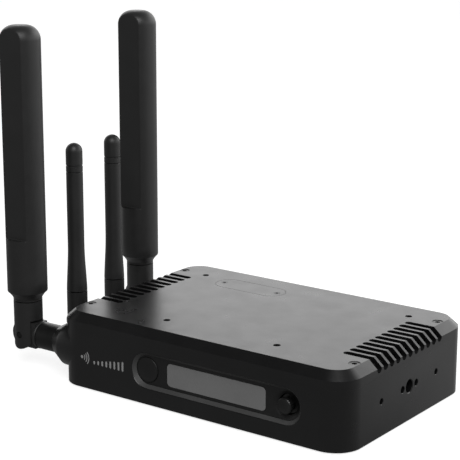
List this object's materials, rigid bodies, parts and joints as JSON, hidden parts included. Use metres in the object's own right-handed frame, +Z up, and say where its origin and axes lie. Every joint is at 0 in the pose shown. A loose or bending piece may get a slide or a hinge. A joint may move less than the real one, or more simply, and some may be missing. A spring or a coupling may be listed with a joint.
{
  "type": "wireless receiver unit",
  "caption": "Flat black wireless receiver box with vent slots, a front display recess with button and joystick, and hinged paddle and whip antennas on one side.",
  "frame": {"origin": "mouth of the camera thread in the middle of the underside, just above the soles of the feet", "axes": "+X to the right along the front, +Y to the back, +Z up through the top cover"},
  "size_m": [0.2105, 0.1274, 0.1768],
  "materials": {
    "housing_paint": "satin",
    "black_screws": "satin",
    "foot_rubber": "matte",
    "control_plastic": "satin",
    "knob_plastic": "satin",
    "window_acrylic": "gloss",
    "chip_plastic": "matte",
    "circuit_board": "satin",
    "brass": "satin",
    "bright_steel": "satin",
    "bare_aluminium": "satin",
    "nut_metal": "satin",
    "port_metal": "satin",
    "fan_plastic": "matte",
    "antenna_plastic": "matte"
  },
  "bodies": {
    "housing": {"antenna_jacks": "brass", "base_screws": "black_screws", "board_chips": "chip_plastic", "board_screws": "bright_steel", "board_standoffs": "brass", "bottom_plate": "housing_paint", "button_switch": "chip_plastic", "control_panel": "control_plastic", "cover_screws": "black_screws", "display_module": "chip_plastic", "display_window": "window_acrylic", "fan_frame": "fan_plastic", "front_board": "circuit_board", "front_paddle_coupling_nut": "nut_metal", "front_whip_coupling_nut": "nut_metal", "hatch_plate": "housing_paint", "heat_sink": "bare_aluminium", "joystick_base": "knob_plastic", "main_board": "circuit_board", "main_frame": "housing_paint", "port_nuts": "bright_steel", "power_inlet": "port_metal", "power_switch": "port_metal", "radio_board": "circuit_board", "rear_paddle_coupling_nut": "nut_metal", "rear_whip_coupling_nut": "nut_metal", "rubber_feet": "foot_rubber", "shield_cans": "bright_steel", "top_cover": "housing_paint", "usb_port": "bright_steel", "video_jacks": "bright_steel", "video_port": "bright_steel"},
    "front_paddle_swivel": {"front_paddle_swivel_base": "antenna_plastic"},
    "front_paddle_arm": {"front_paddle_hinge_fork": "antenna_plastic", "front_paddle_hinge_pin": "black_screws", "front_paddle_element": "brass", "front_paddle_radome": "antenna_plastic"},
    "front_whip_swivel": {"front_whip_swivel_base": "antenna_plastic"},
    "front_whip_arm": {"front_whip_hinge_fork": "antenna_plastic", "front_whip_hinge_pin": "black_screws", "front_whip_element": "brass", "front_whip_sleeve": "antenna_plastic", "front_whip_cap": "antenna_plastic"},
    "rear_whip_swivel": {"rear_whip_swivel_base": "antenna_plastic"},
    "rear_whip_arm": {"rear_whip_hinge_fork": "antenna_plastic", "rear_whip_hinge_pin": "black_screws", "rear_whip_element": "brass", "rear_whip_sleeve": "antenna_plastic", "rear_whip_cap": "antenna_plastic"},
    "rear_paddle_swivel": {"rear_paddle_swivel_base": "antenna_plastic"},
    "rear_paddle_arm": {"rear_paddle_hinge_fork": "antenna_plastic", "rear_paddle_hinge_pin": "black_screws", "rear_paddle_element": "brass", "rear_paddle_radome": "antenna_plastic"},
    "select_button": {"select_button": "control_plastic"},
    "joystick_gimbal": {"joystick_gimbal": "knob_plastic"},
    "joystick_rocker": {"joystick_rocker": "knob_plastic"},
    "joystick_knob": {"joystick_knob": "knob_plastic"},
    "power_lever": {"power_lever": "bright_steel"},
    "fan_rotor": {"fan_rotor": "fan_plastic"}
  },
  "joints": [
    {"name": "front_paddle_turn", "type": "hinge", "parent": "housing", "child": "front_paddle_swivel", "pos_m": [-0.095, -0.04541, 0.017], "axis": [1, 0, 0], "range_deg": [0, 90]},
    {"name": "front_paddle_elbow", "type": "hinge", "parent": "front_paddle_swivel", "child": "front_paddle_arm", "pos_m": [-0.1152, -0.04541, 0.017], "axis": [0, 1, 0], "range_deg": [-90, 0]},
    {"name": "front_whip_turn", "type": "hinge", "parent": "housing", "child": "front_whip_swivel", "pos_m": [-0.095, -0.01513, 0.017], "axis": [1, 0, 0], "range_deg": [0, 8]},
    {"name": "front_whip_elbow", "type": "hinge", "parent": "front_whip_swivel", "child": "front_whip_arm", "pos_m": [-0.1084, -0.01513, 0.017], "axis": [0, 1, 0], "range_deg": [-90, 0]},
    {"name": "rear_whip_turn", "type": "hinge", "parent": "housing", "child": "rear_whip_swivel", "pos_m": [-0.095, 0.01513, 0.017], "axis": [1, 0, 0], "range_deg": [-8, 0]},
    {"name": "rear_whip_elbow", "type": "hinge", "parent": "rear_whip_swivel", "child": "rear_whip_arm", "pos_m": [-0.1084, 0.01513, 0.017], "axis": [0, 1, 0], "range_deg": [-90, 0]},
    {"name": "rear_paddle_turn", "type": "hinge", "parent": "housing", "child": "rear_paddle_swivel", "pos_m": [-0.095, 0.04541, 0.017], "axis": [1, 0, 0], "range_deg": [-90, 0]},
    {"name": "rear_paddle_elbow", "type": "hinge", "parent": "rear_paddle_swivel", "child": "rear_paddle_arm", "pos_m": [-0.1152, 0.04541, 0.017], "axis": [0, 1, 0], "range_deg": [-90, 0]},
    {"name": "select_press", "type": "slide", "parent": "housing", "child": "select_button", "axis": [0, 1, 0], "range_m": [0, 0.0008], "stiffness_N_per_m": 1200, "springref_m": -0.0004},
    {"name": "joystick_up_down", "type": "hinge", "parent": "housing", "child": "joystick_gimbal", "pos_m": [0.0529, -0.0514, 0.017], "axis": [1, 0, 0], "range_deg": [-5, 5], "stiffness_Nm_per_rad": 0.08},
    {"name": "joystick_left_right", "type": "hinge", "parent": "joystick_gimbal", "child": "joystick_rocker", "pos_m": [0.0529, -0.0514, 0.017], "axis": [0, 0, 1], "range_deg": [-5, 5], "stiffness_Nm_per_rad": 0.08},
    {"name": "joystick_press", "type": "slide", "parent": "joystick_rocker", "child": "joystick_knob", "axis": [0, 1, 0], "range_m": [0, 0.0006], "stiffness_N_per_m": 1500, "springref_m": -0.0004},
    {"name": "power_toggle", "type": "hinge", "parent": "housing", "child": "power_lever", "pos_m": [0.066, 0.06, 0.017], "axis": [1, 0, 0], "range_deg": [0, 24]},
    {"name": "fan_spin", "type": "hinge", "parent": "housing", "child": "fan_rotor", "pos_m": [0.038, -0.002, 0.0264], "axis": [0, 0, 1], "continuous": true}
  ]
}
